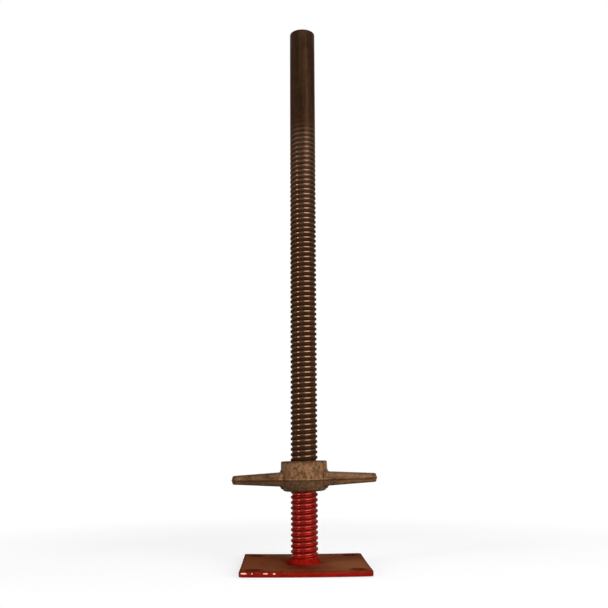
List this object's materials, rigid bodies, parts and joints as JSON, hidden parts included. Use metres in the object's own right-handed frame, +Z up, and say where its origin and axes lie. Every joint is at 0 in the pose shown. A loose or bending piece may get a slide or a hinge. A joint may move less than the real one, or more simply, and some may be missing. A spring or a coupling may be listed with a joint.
{
  "type": "scaffold base jack",
  "caption": "Threaded steel tube welded upright on a square base plate, with a cast wing nut that sets the height of a scaffold leg.",
  "frame": {"origin": "middle of the base plate's underside, on the stem's axis", "axes": "+Z up along the stem, +X to the right along the wings as seen from the front, +Y away from the front"},
  "size_m": [0.1778, 0.15, 0.69],
  "materials": {
    "plate_paint": "worn red paint over steel, thin and brown on top, chipped along the front edge",
    "weld_paint": "glossy red paint over a weld bead",
    "stem_steel": "dark brown aged steel, painted red below the nut",
    "nut_casting": "tan brown cast surface, slightly satin"
  },
  "bodies": {
    "base": {"base_plate": "plate_paint", "weld_bead": "weld_paint", "threaded_stem": "stem_steel"},
    "nut": {"wing_nut": "nut_casting"}
  },
  "joints": [
    {"name": "nut_travel", "type": "slide", "parent": "base", "child": "nut", "axis": [0, 0, 1], "range_m": [-0.073, 0.42]}
  ]
}
